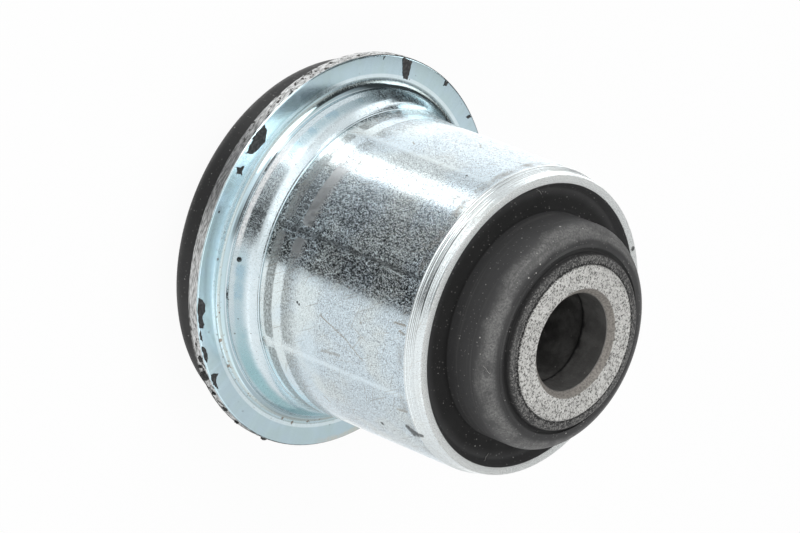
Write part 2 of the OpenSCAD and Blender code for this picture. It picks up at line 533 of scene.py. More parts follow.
def grainGroup():
    tree, given, mask = newGroup("grain", ["Place"], {"Size": 0.25, "Detail": 2.0})
    clouds = add(tree, "ShaderNodeTexNoise", {"Vector": given["Place"], "Scale": divided(tree, 1.0, given["Size"]),
                                              "Detail": given["Detail"], "Roughness": 0.6})
    tree.links.new(clouds.outputs[0], mask)
    return tree


def speckGroup():
    tree, given, mask = newGroup("specks", ["Place"], {"Spacing": 1.0, "Share": 0.3, "Radius": 0.2})
    cells = add(tree, "ShaderNodeTexVoronoi", {"Vector": given["Place"],
                                               "Scale": divided(tree, 1.0, given["Spacing"])}).outputs
    pick = add(tree, "ShaderNodeSeparateColor", {0: cells["Color"]}).outputs
    chosen = sums(tree, "LESS_THAN", pick[0], given["Share"])
    size = product(tree, given["Radius"], total(tree, pick[1], 0.35))
    disc = ramp(tree, divided(tree, cells["Distance"], size), 0.6, 1.0, 1.0, 0.0)
    tree.links.new(product(tree, chosen, disc), mask)
    return tree


def scratchGroup():
    tree, given, mask = newGroup("scratches", ["Place"], {"Turn": 0.0, "Length": 5.0, "Width": 0.2, "Cut": 0.68})
    turned = add(tree, "ShaderNodeVectorRotate", {"Vector": given["Place"], "Angle": given["Turn"]},
                 rotation_type="Z_AXIS")
    part = add(tree, "ShaderNodeSeparateXYZ", {0: turned.outputs[0]}).outputs
    where = add(tree, "ShaderNodeCombineXYZ", {0: divided(tree, part[0], given["Length"]),
                                               1: divided(tree, part[1], given["Width"]),
                                               2: product(tree, given["Turn"], 7.0)})
    lines = add(tree, "ShaderNodeTexNoise", {"Vector": where.outputs[0], "Scale": 1.0, "Detail": 0.0})
    tree.links.new(ramp(tree, lines.outputs[0], given["Cut"], total(tree, given["Cut"], 0.07)), mask)
    return tree


def bandGroup():
    tree, given, mask = newGroup("band", [], {"Value": 0.0, "Middle": 0.0, "Half": 1.0, "Soft": 0.1})
    away = sums(tree, "ABSOLUTE", minus(tree, given["Value"], given["Middle"]))
    tree.links.new(ramp(tree, away, given["Half"], total(tree, given["Half"], given["Soft"]), 1.0, 0.0), mask)
    return tree


def spotGroup():
    tree, given, mask = newGroup("spot", ["Place", "Centre"], {"Radius": 0.3, "Ragged": 0.0})
    away = vectors(tree, "DISTANCE", given["Place"], given["Centre"]).outputs["Value"]
    away = divided(tree, total(tree, away, given["Ragged"]), given["Radius"])
    tree.links.new(ramp(tree, away, 0.75, 1.05, 1.0, 0.0), mask)
    return tree


def strokeGroup():
    # distance from the straight line between two ends
    tree, given, mask = newGroup("stroke", ["Place", "Start", "End"], {"Half": 0.1, "Ragged": 0.0})
    out = vectors(tree, "SUBTRACT", given["Place"], given["Start"]).outputs[0]
    way = vectors(tree, "SUBTRACT", given["End"], given["Start"]).outputs[0]
    along = divided(tree, vectors(tree, "DOT_PRODUCT", out, way).outputs["Value"],
                  vectors(tree, "DOT_PRODUCT", way, way).outputs["Value"], clamp=True)
    near = add(tree, "ShaderNodeVectorMath", {0: way, 3: along}, operation="SCALE").outputs[0]
    away = vectors(tree, "DISTANCE", out, near).outputs["Value"]
    away = divided(tree, total(tree, away, given["Ragged"]), given["Half"])
    tree.links.new(ramp(tree, away, 0.4, 1.1, 1.0, 0.0), mask)
    return tree


shared = {"grain": grainGroup(), "specks": speckGroup(), "scratches": scratchGroup(), "band": bandGroup(),
          "spot": spotGroup(), "stroke": strokeGroup()}


def use(tree, name, sockets):
    return plug(tree, add(tree, "ShaderNodeGroup", node_tree=shared[name]), sockets).outputs[0]


def grain(tree, place, size, detail):
    return use(tree, "grain", {"Place": place, "Size": size, "Detail": detail})


def specks(tree, place, spacing, chosen, radius):
    return use(tree, "specks", {"Place": place, "Spacing": spacing, "Share": chosen, "Radius": radius})


def scratches(tree, place, degrees, length, width, cut):
    return use(tree, "scratches", {"Place": place, "Turn": math.radians(degrees), "Length": length, "Width": width,
                                   "Cut": cut})


def band(tree, value, middle, half, soft):
    return use(tree, "band", {"Value": value, "Middle": middle, "Half": half, "Soft": soft})


def noise(tree, vector, stretch, detail, turn=0.0):
    way = add(tree, "ShaderNodeMapping", {"Vector": vector, "Rotation": (0, 0, turn), "Scale": (*stretch, 1)})
    return add(tree, "ShaderNodeTexNoise", {"Vector": way.outputs[0], "Scale": 1.0, "Detail": detail}).outputs[0]


def newMaterial(name):
    mat = bpy.data.materials.new(name)
    mat.use_nodes = True
    tree = mat.node_tree
    tree.nodes.clear()
    return mat, tree, tree.nodes.new("ShaderNodeOutputMaterial").inputs[0]


def newSurface(name):
    mat, tree, end = newMaterial(name)
    shader = tree.nodes.new("ShaderNodeBsdfPrincipled")
    tree.links.new(shader.outputs[0], end)
    return mat, tree, shader


def dress(tree, shader, colour, rough, tall=None, strength=0.8, depth=0.0):
    tree.links.new(colour, shader.inputs["Base Color"])
    tree.links.new(rough, shader.inputs["Roughness"])
    if tall is not None:
        bump = add(tree, "ShaderNodeBump", {"Height": tall, "Strength": strength, "Distance": depth * mm})
        tree.links.new(bump.outputs[0], shader.inputs["Normal"])


def places(tree, scale=(1, 1, 1)):
    # object coordinates in millimetres, stretched where a pattern runs one way
    coords = add(tree, "ShaderNodeTexCoord")
    size = [1000 * s for s in scale]
    return add(tree, "ShaderNodeMapping", {"Vector": coords.outputs["Object"], "Scale": size}).outputs[0]


def axisParts(tree, place):
    # distance from the axis, height, and angle round the axis in degrees
    x, y, z = add(tree, "ShaderNodeSeparateXYZ", {0: place}).outputs
    radius = sums(tree, "SQRT", total(tree, product(tree, x, x), product(tree, y, y)))
    return radius, z, sums(tree, "DEGREES", sums(tree, "ARCTAN2", y, x))


# zinc plate with a pale blue passivate, pressed by eight jaws that left matt bars and bright lines
zincSet = {
    "plain": (0.765, 0.885, 0.95, 1), "cream": (0.81, 0.90, 0.915, 1), "worn": (0.25, 0.275, 0.31, 1),
    "blue": (0.48, 0.61, 0.67, 1), "teal": (0.47, 0.60, 0.63, 1), "deep": (0.36, 0.52, 0.62, 1),
    "sea": (0.35, 0.565, 0.61, 1), "white": (0.74, 0.84, 0.885, 1), "footHighlight": (0.95, 0.96, 0.965, 1),
    "bar": (0.225, 0.243, 0.24, 1), "barPaintedLight": (0.6, 0.62, 0.63, 1), "ring": (0.34, 0.38, 0.365, 1),
    "pale": (0.76, 0.86, 0.89, 1), "rust": (0.17, 0.115, 0.08, 1), "brown": (0.31, 0.28, 0.235, 1),
    "beige": (0.56, 0.565, 0.51, 1), "line": (0.12, 0.12, 0.115, 1), "black": (0.012, 0.012, 0.012, 1),
    "shear": (0.80, 0.81, 0.81, 1), "dull": (0.31, 0.315, 0.31, 1), "shade": (0.20, 0.205, 0.21, 1),
    "tornAndShadow": (0.07, 0.068, 0.065, 1), "rim": (0.77, 0.79, 0.78, 1), "pit": (0.17, 0.175, 0.17, 1),
    "turned": (0.82, 0.845, 0.83, 1),
    "perDegree": 0.3927,  # mm round the barrel
    "fine": (0.1, 1.0), "broad": (4.0, 4.0), "wide": (9.0, 2.0),  # grain: size, detail
    "onBarrel": (15.2, 15.6), "lead": (43.6, 43.8), "onRim": (46.36, 46.46), "onFace": (13.4, 12.2),
    "low": (10.5, 10.1),
    # jaws and their bars: middle, half width, corner; foot, corner; heights where a bar fades
    "jaws": 8, "jawTurn": 1.0, "jawGap": 0.75, "lowBar": (16.92, 0.9, 0.6), "highBar": (19.4, 1.0),
    "barFade": (22.8, 19.8), "unlitFade": (22.6, 21.0), "lowToHigh": (17.8, 19.4),
    "fleckWays": (62, 118, 8), "fleck": (0.46, 0.095, 0.63),  # short scuffs: length, width, how rare
    # heights and angles where a mark starts, is full, is past and is gone
    "clean": (17.4, 17.8, 19.2, 19.4), "flareFront": (11.4, 11.7, 12.7, 13.3), "flareFoot": (10.85, 11.0, 11.4, 11.75),
    "collar": (10.3, 10.45, 10.84, 10.9), "unlit": (-126, -117, -84, -77), "seaSector": (-62, -25, 5, 30),
    "rustSector": (-82, -68, 18, 30), "spotSector": (-86, -78, 20, 30), "smearSector": (17, 25, 48, 60),
    "shadeSector": (-126, -106, -94, -80),
    # bands: middle, half width, softness
    "root": (16.2, 0.7, 0.3), "belt": (24.0, 0.8, 2.6), "rubbed": (-96.4, 0.6, 1.6), "scuff": (42.9, 0.3, 0.7),
    "paleRing": (26.2, 0.16, 0.22), "shadowRing": (25.86, 0.04, 0.1), "footRing": (25.33, 0.14, 0.12),
    "rustRing": (25.4, 0.3, 0.2), "spotRing": (25.8, 0.3, 0.3),
    # specks: spacing, share, size
    "brownSpecks": (0.55, 0.12, 0.35), "spots": (0.75, 0.42, 0.42), "dots": (1.1, 0.3, 0.12),
    # dark lines round the sleeve, painted shade in its grooves: height, half width, softness, how strong
    "creases": [(15.34, 0.02, 0.07, 1.0), (15.0, 0.01, 0.06, 0.7), (10.88, 0.01, 0.045, 0.7)],
    "toolLines": [(45.16, 0.02, 0.06, 0.6), (44.93, 0.02, 0.06, 0.5), (44.63, 0.02, 0.06, 0.8),
                  (44.39, 0.02, 0.06, 0.6), (44.09, 0.02, 0.06, 0.85), (43.8, 0.02, 0.06, 0.6)],
    # fine scratches: way in degrees, length, width, how rare, how strong
    "scratches": [(62, 5.0, 0.17, 0.74, 0.5), (20, 3.0, 0.17, 0.75, 0.4)],
    # long strokes: angle and height of both ends, half width, how strong
    "strokes": [
        (-54.5, 35.6, -60, 32.4, 0.13, 0.7), (-60, 32.4, -64.8, 27.4, 0.13, 0.8), (-52.4, 31.0, -51.6, 27.6, 0.3, 0.45),
        (-58.2, 34.0, -63.0, 35.4, 0.1, 0.5), (-73.6, 43.3, -73.2, 41.2, 0.2, 0.8),
        (-70.4, 43.4, -71.0, 42.4, 0.22, 0.7), (-39.6, 43.2, -38.8, 41.4, 0.3, 0.6),
        (-25.0, 25.4, -27.4, 24.8, 0.2, 0.6), (-15.4, 16.6, -14.2, 15.5, 0.12, 0.9),
        (-158.0, 32.6, -155.4, 33.8, 0.2, 0.6), (-147.4, 15.8, -145.0, 17.7, 0.08, 0.9),
        (-141.9, 25.6, -141.1, 26.2, 0.14, 0.8), (-125.0, 41.2, -122.6, 40.6, 0.35, 0.35),
        (-124.0, 22.2, -120.0, 22.5, 0.16, 0.5), (-113.0, 36.6, -104.0, 41.0, 0.07, 0.4),
        (-66.5, 33.0, -62.5, 36.2, 0.08, 0.45), (-57.0, 30.2, -55.2, 34.8, 0.07, 0.4),
        (-49.6, 29.5, -52.2, 33.8, 0.07, 0.4), (-68.8, 40.5, -66.0, 37.6, 0.07, 0.35), (-60.8, 38.4, -56.4, 41.6, 0.06, 0.3),
    ],
    # stains: angle, radius, height, size, how ragged
    "stains": [
        (-74.1, 23.9, 11.7, 0.42, 0.0), (-25.4, 22.5, 36, 0.36, 0.3), (-66.3, 22.5, 22.6, 0.22, 0.3),
        (-65.8, 22.5, 23.0, 0.2, 0.3), (-87.1, 28.3, 9.6, 0.17, 0.1), (136.6, 21.3, 46.5, 0.4, 0.4),
        (-135.2, 22.5, 38.7, 0.18, 0.2), (-30.6, 22.5, 42.1, 0.6, 0.8), (-29.3, 22.5, 42.6, 0.75, 0.8),
        (-28.6, 22.5, 43.3, 0.7, 0.8), (-28.2, 22.3, 44.0, 0.5, 0.8), (-27.4, 22.45, 42.6, 0.5, 0.8),
    ],
}


def pocket(tree, inEnd, inEdge, corner):
    # inside of a bar with a rounded corner, from the distances to its end and its edge
    a = largest(tree, minus(tree, corner, inEnd), 0.0)
    b = largest(tree, minus(tree, corner, inEdge), 0.0)
    away = sums(tree, "SQRT", total(tree, product(tree, a, a), product(tree, b, b)))
    return ramp(tree, minus(tree, corner, away), 0.0, 0.25)


def jawBars(tree, s, height, angle, toLine, unlit, patches):
    # two matt bars under each jaw; their strength is painted sector by sector as shade, and they are plainer in the
    # sector where the surround is dark
    inEnd = minus(tree, product(tree, toLine, s["perDegree"]), s["jawGap"])
    middle, half, corner = s["lowBar"]
    inEdge = minus(tree, half, sums(tree, "ABSOLUTE", minus(tree, height, middle)))
    lowBar = product(tree, pocket(tree, inEnd, inEdge, corner), 1.15)
    foot, corner = s["highBar"]
    fade = largest(tree, ramp(tree, height, *s["barFade"]), product(tree, unlit, ramp(tree, height, *s["unlitFade"])))
    highBar = product(tree, pocket(tree, inEnd, minus(tree, height, foot), corner), fade, 0.9)
    patchy = largest(tree, ramp(tree, patches, 0.8, 1.15, 1.0, 0.3),
                     product(tree, unlit, ramp(tree, height, *s["lowToHigh"], 0.55, 1.0)))
    sector = largest(tree, ramp(tree, angle, -122, -98, 0.3, 1.0), unlit,
                     product(tree, ramp(tree, angle, -148, -138, 0.1, 1.0), ramp(tree, angle, -127, -131)))
    return product(tree, largest(tree, lowBar, highBar), patchy, sector)


def ringLines(tree, height, lines):
    return largest(tree, *[product(tree, band(tree, height, *line), amount) for *line, amount in lines])


def footRings(tree, s, colour, place, radius, height, angle, broad, dashes):
    # rings at the foot of the bend, one a thin painted shadow where the bend starts, with rust and brown spots in them,
    # and a smear at the flange's edge
    low = ramp(tree, height, *s["low"])
    # painted shadow: a thin ring where the bend starts, joined to the foot ring
    foot = largest(tree, band(tree, radius, *s["footRing"]), product(tree, band(tree, radius, *s["shadowRing"]), 0.6))
    foot = product(tree, foot, low)
    rust = product(tree, ramp(tree, grain(tree, place, 0.5, 4.0), 0.62, 0.68), band(tree, radius, *s["rustRing"]), low,
                   within(tree, angle, *s["rustSector"]))
    spots = product(tree, specks(tree, place, *s["spots"]), band(tree, radius, *s["spotRing"]), low,
                    within(tree, angle, *s["spotSector"]), ramp(tree, broad, 0.38, 0.5, 0.3, 1.0), 0.8)
    smear = product(tree, ramp(tree, total(tree, radius, product(tree, broad, 1.2)), 28.7, 29.3),
                    within(tree, angle, *s["smearSector"]), ramp(tree, dashes, 0.35, 0.6, 0.4, 0.75))
    dots = product(tree, specks(tree, place, *s["dots"]), ramp(tree, height, 16.0, 15.0), 0.7)
    colour = layers(tree, colour, (product(tree, band(tree, radius, *s["paleRing"]), low, 0.6), s["pale"]),
                    (product(tree, foot, 0.7), s["ring"]), (rust, s["rust"]), (spots, s["rust"]), (smear, s["beige"]),
                    (dots, s["line"]))
    return colour, foot


def shearedEdge(tree, s, colour, radius, height, angle, unrolled):
    # scored along its length, torn in flecks, with painted shade over one sector and a painted shadow along its lower
    # border
    shear = product(tree, ramp(tree, radius, 29.0, 29.2), ramp(tree, height, 9.5, 9.35))
    tornAndShadow = grain(tree, places(tree, (1, 1, 1.6)), 0.9, 4.0)
    scores = noise(tree, unrolled, (1.1, 6.0), 3.0, 0.3)
    flecks = product(tree, ramp(tree, tornAndShadow, 0.46, 0.39),
                     largest(tree, ramp(tree, angle, -98, -112, 0.1, 1.0), ramp(tree, angle, -60, -48, 0.1, 1.0)))
    # painted shade over one sector of the edge
    shade = product(tree, within(tree, angle, *s["shadeSector"]), ramp(tree, scores, 0.35, 0.65, 0.95, 0.5))
    bare = blend(tree, ramp(tree, scores, 0.36, 0.6), s["dull"], s["shear"])
    bare = layers(tree, bare, (shade, s["shade"]), (flecks, s["tornAndShadow"]))
    # painted shadow along the lower border and the rolled edge, in the dark torn colour
    under = product(tree, ramp(tree, height, 8.2, 8.0), ramp(tree, radius, 29.0, 29.1), ramp(tree, angle, -70, -50))
    rolled = product(tree, ramp(tree, radius, 29.04, 29.14), ramp(tree, angle, -22, -4))
    under = product(tree, largest(tree, under, rolled), ramp(tree, angle, 80, 60),
                    ramp(tree, tornAndShadow, 0.62, 0.46, 0.4, 0.9))
    return layers(tree, colour, (shear, bare), (under, s["tornAndShadow"])), shear, tornAndShadow


def scoredMarks(tree, s, unrolled, onBarrel, wobble):
    # scratches and strokes on the unrolled barrel
    marks = [(scratches(tree, unrolled, *line), amount) for *line, amount in s["scratches"]]
    for angle1, height1, angle2, height2, width, amount in s["strokes"]:
        ends = {"Start": (angle1 * s["perDegree"], height1, 0), "End": (angle2 * s["perDegree"], height2, 0)}
        marks.append((use(tree, "stroke", {"Place": unrolled, **ends, "Half": width, "Ragged": wobble}), amount))
    return largest(tree, *[product(tree, mark, onBarrel, amount) for mark, amount in marks])


def stainMarks(tree, s, place, dashes):
    masks = []
    for angle, out, height, size, tear in s["stains"]:
        ragged = product(tree, minus(tree, dashes, 0.5), tear)
        mask = use(tree, "spot", {"Place": place, "Centre": around(angle, out, height) / mm, "Radius": size,
                                  "Ragged": ragged})
        masks.append(product(tree, mask, 1.0 - 0.3 * tear))
    return largest(tree, *masks)


def makeZinc(s):
    mat, tree, shader = newSurface("zinc_plate")
    place = places(tree)
    radius, height, angle = axisParts(tree, place)
    unrolled = add(tree, "ShaderNodeCombineXYZ", {0: product(tree, angle, s["perDegree"]), 1: height}).outputs[0]
    fine, broad, wide = [grain(tree, place, *s[name]) for name in ("fine", "broad", "wide")]
    dashes, streaks = noise(tree, unrolled, (2.2, 5.5), 2.0), noise(tree, unrolled, (1.1, 0.05), 2.0)
    onBarrel, lead, onRim, face = [ramp(tree, height, *s[name]) for name in ("onBarrel", "lead", "onRim", "onFace")]
    # how far from the line between two jaws
    pitch = 360 / s["jaws"]
    turn = sums(tree, "FLOORED_MODULO", total(tree, angle, s["jawTurn"] + pitch / 2), pitch)
    toLine = sums(tree, "ABSOLUTE", minus(tree, turn, pitch / 2))
    unlit = within(tree, angle, *s["unlit"])
    bars = jawBars(tree, s, height, angle, toLine, unlit, total(tree, dashes, fine))
    # frosted grains, few along the jaw lines and on the lead-in
    root = band(tree, height, *s["root"])
    clean = largest(tree, within(tree, height, *s["clean"]), product(tree, root, 0.85))
    sparkle = largest(tree, *[scratches(tree, unrolled, way, *s["fleck"]) for way in s["fleckWays"]])
    mixed = total(tree, fine, product(tree, broad, 0.3))
    frost = largest(tree, ramp(tree, mixed, 0.62, 0.8, 0.0, 0.6), sparkle)
    frost = total(tree, product(tree, frost, ramp(tree, streaks, 0.35, 0.65, 0.9, 1.4)),
                  product(tree, band(tree, angle, *s["rubbed"]), 0.16))
    frost = product(tree, frost, ramp(tree, toLine, 0.3, 1.6, 0.5, 1.0), fadeTo(tree, clean, 0.6),
                    fadeTo(tree, bars, 0.25), ramp(tree, height, 10.2, 11.2, 0.2, 0.7), fadeTo(tree, onBarrel, 1.4),
                    fadeTo(tree, lead, 0.35))
    # coarser grain on the front of the flare, and a painted highlight at its foot: white and barely metallic on the
    # front
    ahead = ramp(tree, angle, -74, -82)
    front = product(tree, ahead, ramp(tree, angle, -118, -106), within(tree, height, *s["flareFront"]))
    frost = largest(tree, frost, product(tree, front, ramp(tree, fine, 0.52, 0.6, 0.0, 0.6)))
    footHighlight = product(tree, largest(tree, ahead, ramp(tree, angle, -36, -60, 0.0, 0.3)), ramp(tree, angle, -157, -147),
                    within(tree, height, *s["flareFoot"]), ramp(tree, dashes, 0.3, 0.6, 0.65, 1.0))
    # colour: pale on the barrel, bluer on the flange, cloudy on the flare
    cone = product(tree, face, ramp(tree, height, 11.0, 11.5))
    colour = blend(tree, ramp(tree, wide, 0.45, 0.62), s["plain"], s["cream"])
    colour = layers(
        tree, colour, (ramp(tree, onBarrel, 1.0, 0.0, 0.0, 0.8), s["white"]),
        (face, blend(tree, ramp(tree, broad, 0.4, 0.62), s["blue"], s["teal"])),
        (product(tree, cone, ramp(tree, broad, 0.48, 0.64, 0.0, 0.8)), s["deep"]),
        (product(tree, cone, within(tree, angle, *s["seaSector"])), s["sea"]),
        (product(tree, front, 0.6), s["cream"]),
        (footHighlight, blend(tree, ramp(tree, angle, -122, -110), s["white"], s["footHighlight"])),
        (product(tree, within(tree, height, *s["collar"]), 0.9), s["white"]))
    # worn grains, bars and scored marks
    worn = largest(tree, ramp(tree, fine, 0.5, 0.36), ramp(tree, dashes, 0.44, 0.34, 0.0, 0.8))
    worn = product(tree, worn, ramp(tree, toLine, 0.3, 1.6, 0.25, 1.0), ramp(tree, onBarrel, 0.0, 1.0, 0.07, 1.0),
                   fadeTo(tree, clean, 0.15), fadeTo(tree, lead, 0.3),
                   fadeTo(tree, band(tree, height, *s["belt"]), 0.45))
    worn = largest(tree, worn, product(tree, front, ramp(tree, fine, 0.52, 0.44)))
    # painted light: the bars take a lighter colour in the sector where the surround is dark
    barColour = blend(tree, product(tree, unlit, ramp(tree, height, *s["lowToHigh"], 0.3, 1.0)), s["bar"],
                      s["barPaintedLight"])
    brown = product(tree, specks(tree, place, *s["brownSpecks"]), ramp(tree, broad, 0.5, 0.62, 0.15, 0.6), onBarrel)
    scuff = product(tree, band(tree, height, *s["scuff"]), ramp(tree, total(tree, broad, fine), 1.02, 1.2, 0.0, 0.8))
    wobble = product(tree, minus(tree, fine, 0.5), 0.7)
    scored = largest(tree, brown, scuff, scoredMarks(tree, s, unrolled, onBarrel, wobble))
    # painted shade in the grooves at the crease and the step, and in the tool's lines on the lead-in, darkest on the
    # front
    creases = product(tree, ringLines(tree, height, s["creases"]), ramp(tree, broad, 0.3, 0.55, 0.35, 0.9))
    toolShade = product(tree, ringLines(tree, height, s["toolLines"]), ramp(tree, angle, -136, -112, 0.25, 1.0),
                   ramp(tree, angle, -58, -76, 0.2, 1.0), ramp(tree, broad, 0.35, 0.6, 0.5, 1.0))
    colour = layers(tree, colour, (worn, s["worn"]), (product(tree, root, 0.5), s["cream"]),
                    (product(tree, bars, 0.95), barColour), (scored, s["brown"]), (creases, s["line"]),
                    (product(tree, lead, 0.6), s["turned"]), (toolShade, s["line"]))
    colour, foot = footRings(tree, s, colour, place, radius, height, angle, broad, dashes)
    colour, shear, tornAndShadow = shearedEdge(tree, s, colour, radius, height, angle, unrolled)
    # sawn matt rim, then the stains
    stained = stainMarks(tree, s, place, dashes)
    sawn = blend(tree, ramp(tree, fine, 0.36, 0.52), s["pit"], s["rim"])
    colour = layers(tree, colour, (product(tree, onRim, 0.85), sawn),
                    (product(tree, stained, ramp(tree, dashes, 0.5, 0.65, 0.98, 0.75)), s["black"]))
    # less metallic on the rim, on the painted highlight at the flare's foot and on the sparkle
    metal = product(tree, fadeTo(tree, onRim, 0.15), fadeTo(tree, footHighlight, 0.1),
                    fadeTo(tree, product(tree, sparkle, onBarrel), 0.75))
    tree.links.new(metal, shader.inputs["Metallic"])
    rough = total(tree, 0.03, product(tree, frost, 0.42))
    for mask, more in ((bars, 0.28), (onRim, 0.4), (shear, 0.35), (scored, 0.2), (foot, 0.05), (root, 0.04),
                       (stained, 0.4), (ramp(tree, height, 10.0, 9.7), 0.12)):
        rough = total(tree, rough, product(tree, mask, more))
    # grain, turning lines and the torn edge stand up a little
    turned = grain(tree, places(tree, (0.04, 0.04, 3.6)), 1.0, 2.0)
    tall = product(tree, fine, ramp(tree, toLine, 1.0, 3.0, 0.4, 1.0), fadeTo(tree, bars, 0.4),
                   ramp(tree, height, 15.5, 10.0, 1.0, 0.15))
    tall = total(tree, tall, product(tree, turned, lead, 10.0), product(tree, tornAndShadow, shear, 16.0))
    dress(tree, shader, colour, rough, tall, 1.0, 0.005)
    return mat


# black rubber, satin, with a lighter shoulder (wear and a painted highlight), painted shade in the recess, on the
# nose's top and at the pad's edge, a coarse lip and specks of dust
# the worn colour lightens the shoulder as wear and painted highlight; the deep colour is painted shade
rubberLook = {
    "base": (0.052, 0.052, 0.053, 1), "deep": (0.014, 0.014, 0.014, 1), "worn": (0.215, 0.215, 0.21, 1),
    "streak": (0.085, 0.085, 0.084, 1), "dust": (0.5, 0.49, 0.47, 1), "lip": (0.21, 0.207, 0.2, 1),
    "black": (0.004, 0.004, 0.004, 1), "gloss": 0.32,
    "recess": (40.0, 44.0, 46.0, 46.4), "padShade": (9.0, 7.0), "shoulder": (51.0, 52.8), "shoulderIn": (14.3, 15.4),
    "specks": [(1.2, 0.4, 0.1, 0.9), (0.6, 0.25, 0.16, 0.5), (0.4, 0.3, 0.3, 0.14)],  # spacing, share, size, strength
}


def makeBlackRubber(s):
    mat, tree, shader = newSurface("black_rubber")
    place = places(tree)
    radius, height = axisParts(tree, place)[:2]
    fine, broad = grain(tree, place, 0.28, 3.0), grain(tree, place, 4.0, 4.0)
    moulded = grain(tree, places(tree, (0.05, 0.05, 2.0)), 1.0, 2.0)
    recess = product(tree, within(tree, height, *s["recess"]), ramp(tree, radius, 20.2, 18.2, 0.25, 1.0))
    top = product(tree, ramp(tree, radius, 15.1, 14.3), ramp(tree, height, 52.0, 53.0))
    # lighter ring round the shoulder, wider where it was handled: wear and a painted highlight
    blur = product(tree, minus(tree, broad, 0.5), 2.6)
    outer = ramp(tree, total(tree, height, blur), *s["shoulder"])
    inner = ramp(tree, total(tree, radius, product(tree, blur, 0.5)), *s["shoulderIn"])
    wearAndSheen = product(tree, outer, inner, ramp(tree, fine, 0.3, 0.7, 0.3, 1.0), ramp(tree, broad, 0.36, 0.6, 0.25, 1.0))
    streak = product(tree, ramp(tree, moulded, 0.5, 0.7, 0.0, 0.6), ramp(tree, height, 46.2, 47.0))
    # coarse lip, black and torn along the steel
    lip = product(tree, ramp(tree, radius, 12.85, 12.6), ramp(tree, height, 53.8, 54.2))
    jagged = total(tree, radius, product(tree, minus(tree, fine, 0.5), 1.6))
    # painted shade: the recess behind the rim, the top of the nose and the edge of the pad are darkened towards the
    # deep colour
    colour = blend(tree, largest(tree, recess, product(tree, top, 0.6)), s["base"], s["deep"])
    colour = layers(tree, colour, (ramp(tree, height, *s["padShade"], 0.0, 0.65), s["deep"]), (wearAndSheen, s["worn"]),
                    (streak, s["streak"]), (product(tree, lip, ramp(tree, fine, 0.42, 0.68)), s["lip"]),
                    (product(tree, lip, ramp(tree, jagged, 11.72, 11.6)), s["black"]))
    for spacing, chosen, size, amount in s["specks"]:
        colour = blend(tree, product(tree, specks(tree, place, spacing, chosen, size), amount), colour, s["dust"])
    shader.inputs["Specular IOR Level"].default_value = s["gloss"]
    rough = total(tree, ramp(tree, broad, 0.3, 0.7, 0.48, 0.6), product(tree, recess, 0.35))
    dress(tree, shader, colour, rough, product(tree, fine, fadeTo(tree, lip, 5.0)), depth=0.03)
    return mat


# thin films of torn rubber on the plate
flashLook = {"base": (0.012, 0.012, 0.012, 1), "worn": (0.05, 0.05, 0.048, 1)}


def makeFlashRubber(s):
    mat, tree, shader = newSurface("flash_rubber")
    fine = grain(tree, places(tree), 0.4, 3.0)
    dress(tree, shader, blend(tree, ramp(tree, fine, 0.45, 0.7), s["base"], s["worn"]),
          ramp(tree, fine, 0.3, 0.7, 0.7, 0.45), fine, depth=0.05)
    return mat


# pale lint
lintLook = {"dark": (0.16, 0.16, 0.15, 1), "pale": (0.5, 0.49, 0.47, 1)}


def makeLintMaterial(s):
    mat, tree, shader = newSurface("pale_lint")
    fine = grain(tree, places(tree), 0.3, 2.0)
    dress(tree, shader, blend(tree, fine, s["dark"], s["pale"]), ramp(tree, fine, 0.3, 0.7, 0.8, 0.6))
    return mat


# matt grey steel of the inner sleeve, with brownish mouths and a dark bore
steelSet = {
    "face": (0.575, 0.571, 0.549, 1), "pit": (0.1, 0.098, 0.092, 1), "grey": (0.44, 0.435, 0.42, 1),
    "shine": (0.85, 0.85, 0.83, 1), "mouth": (0.28, 0.262, 0.238, 1), "mouthPit": (0.13, 0.12, 0.11, 1),
    # bore colours: a dark base, a lighter tone for its clouds and lands, and dust
    "bore": (0.06, 0.059, 0.057, 1), "film": (0.2, 0.197, 0.19, 1), "dust": (0.4, 0.39, 0.37, 1),
    "seamAndShade": (0.012, 0.012, 0.012, 1), "metal": 0.3,
    "markWays": (35, 95, 150), "mark": (0.9, 0.16, 0.64), "specks": (0.8, 0.3, 0.16),
    "middle": 27.5, "reliefShadeFromMiddle": (22.0, 0.16, 0.4), "mouthEdge": (8.05, 7.93), "outerEdge": (11.28, 11.36),
}


